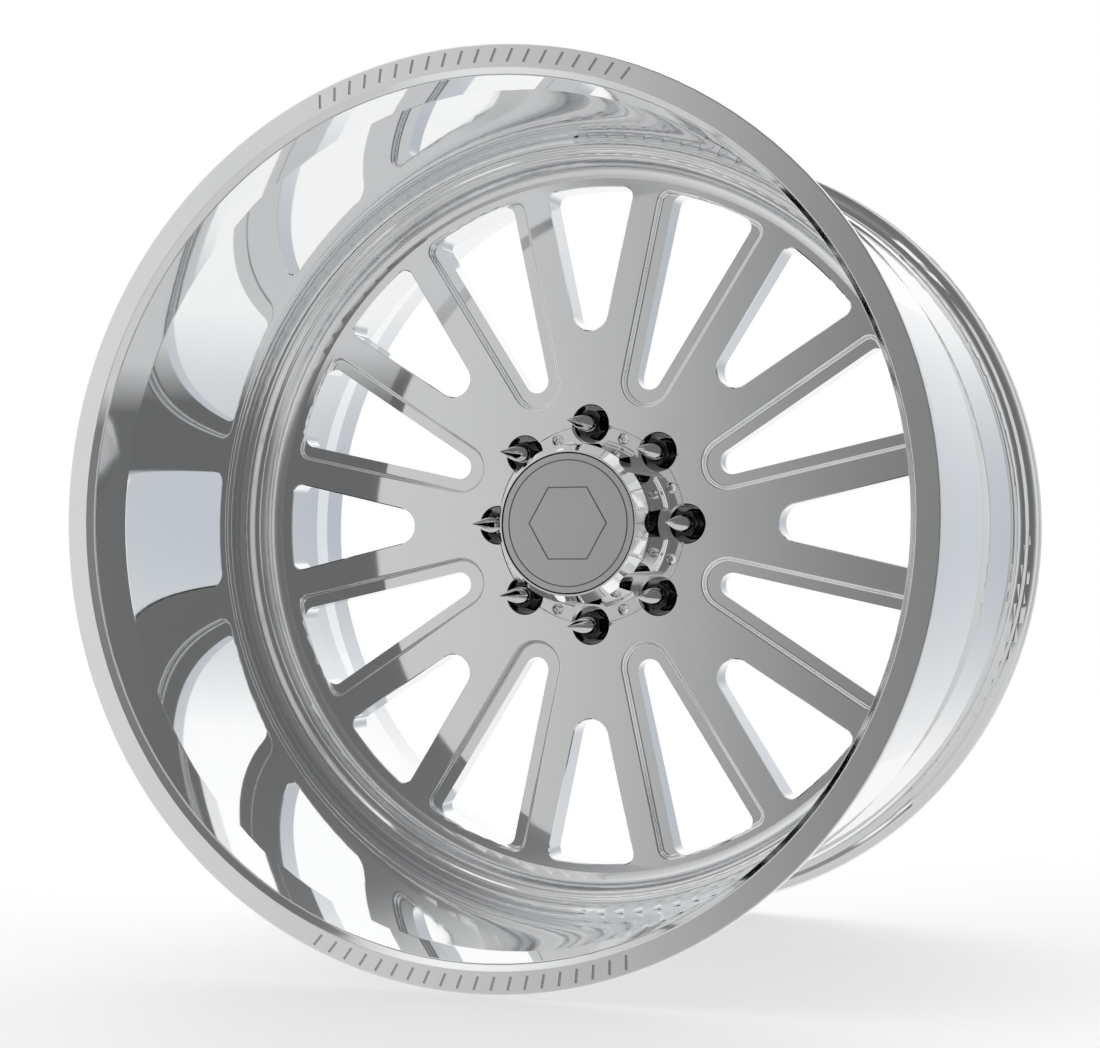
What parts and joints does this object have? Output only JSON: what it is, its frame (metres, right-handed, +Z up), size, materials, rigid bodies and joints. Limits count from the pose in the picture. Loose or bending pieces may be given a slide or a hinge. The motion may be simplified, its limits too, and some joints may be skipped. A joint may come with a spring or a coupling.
{
  "type": "truck wheel",
  "caption": "Deep-lip one-piece wheel with sixteen tapered windows, a fluted bolt-on centre cap and long spiked lug nuts.",
  "frame": {"origin": "centre of the rim: on the wheel's axis, midway between the outer faces of the two flanges", "axes": "+Y along the wheel's axis, inboard towards the vehicle; the polished face looks along -Y; +Z is up, through a plain window"},
  "size_m": [0.6953, 0.4368, 0.6954],
  "materials": {
    "polished_forging": "mirror polished, brushed on the outer flange face",
    "cap_chrome": "polished",
    "cap_plate": "satin turned",
    "nut_chrome": "black chrome",
    "spike_chrome": "polished",
    "bright_steel": "bright zinc",
    "valve_metal": "plated",
    "core_brass": "plain",
    "black_rubber": "matte"
  },
  "bodies": {
    "wheel": {"forged_wheel": "polished_forging", "cap_body": "cap_chrome", "cap_face_plate": "cap_plate", "cap_face_seal": "black_rubber", "cap_o_ring": "black_rubber", "cap_screws": "bright_steel", "cap_plate_screws": "bright_steel", "valve_stem": "valve_metal", "valve_seal": "black_rubber", "valve_washer": "bright_steel", "valve_nut": "valve_metal", "valve_core": "core_brass", "valve_core_spring": "bright_steel"},
    "lug_nut_assembly_1": {"lug_nut_1": "nut_chrome", "spike_cap_1": "spike_chrome"},
    "lug_nut_assembly_2": {"lug_nut_2": "nut_chrome", "spike_cap_2": "spike_chrome"},
    "lug_nut_assembly_3": {"lug_nut_3": "nut_chrome", "spike_cap_3": "spike_chrome"},
    "lug_nut_assembly_4": {"lug_nut_4": "nut_chrome", "spike_cap_4": "spike_chrome"},
    "lug_nut_assembly_5": {"lug_nut_5": "nut_chrome", "spike_cap_5": "spike_chrome"},
    "lug_nut_assembly_6": {"lug_nut_6": "nut_chrome", "spike_cap_6": "spike_chrome"},
    "lug_nut_assembly_7": {"lug_nut_7": "nut_chrome", "spike_cap_7": "spike_chrome"},
    "lug_nut_assembly_8": {"lug_nut_8": "nut_chrome", "spike_cap_8": "spike_chrome"},
    "valve_pin": {"valve_core_pin": "core_brass"},
    "valve_cap_assembly": {"valve_cap": "valve_metal", "valve_cap_gasket": "black_rubber"}
  },
  "joints": [
    {"name": "lug_nut_1_turn", "type": "hinge", "parent": "wheel", "child": "lug_nut_assembly_1", "pos_m": [0.085, 0.03, 0], "axis": [0, 1, 0], "continuous": true},
    {"name": "lug_nut_2_turn", "type": "hinge", "parent": "wheel", "child": "lug_nut_assembly_2", "pos_m": [0.0601, 0.03, 0.0601], "axis": [0, 1, 0], "continuous": true},
    {"name": "lug_nut_3_turn", "type": "hinge", "parent": "wheel", "child": "lug_nut_assembly_3", "pos_m": [0, 0.03, 0.085], "axis": [0, 1, 0], "continuous": true},
    {"name": "lug_nut_4_turn", "type": "hinge", "parent": "wheel", "child": "lug_nut_assembly_4", "pos_m": [-0.0601, 0.03, 0.0601], "axis": [0, 1, 0], "continuous": true},
    {"name": "lug_nut_5_turn", "type": "hinge", "parent": "wheel", "child": "lug_nut_assembly_5", "pos_m": [-0.085, 0.03, 0], "axis": [0, 1, 0], "continuous": true},
    {"name": "lug_nut_6_turn", "type": "hinge", "parent": "wheel", "child": "lug_nut_assembly_6", "pos_m": [-0.0601, 0.03, -0.0601], "axis": [0, 1, 0], "continuous": true},
    {"name": "lug_nut_7_turn", "type": "hinge", "parent": "wheel", "child": "lug_nut_assembly_7", "pos_m": [0, 0.03, -0.085], "axis": [0, 1, 0], "continuous": true},
    {"name": "lug_nut_8_turn", "type": "hinge", "parent": "wheel", "child": "lug_nut_assembly_8", "pos_m": [0.0601, 0.03, -0.0601], "axis": [0, 1, 0], "continuous": true},
    {"name": "valve_pin_press", "type": "slide", "parent": "wheel", "child": "valve_pin", "axis": [-0.2756, 0, 0.9613], "range_m": [0, 0.0015], "stiffness_N_per_m": 700, "springref_m": -0.002},
    {"name": "valve_cap_turn", "type": "hinge", "parent": "wheel", "child": "valve_cap_assembly", "pos_m": [-0.07301, 0.0922, 0.25461], "axis": [-0.2756, 0, 0.9613], "continuous": true}
  ]
}
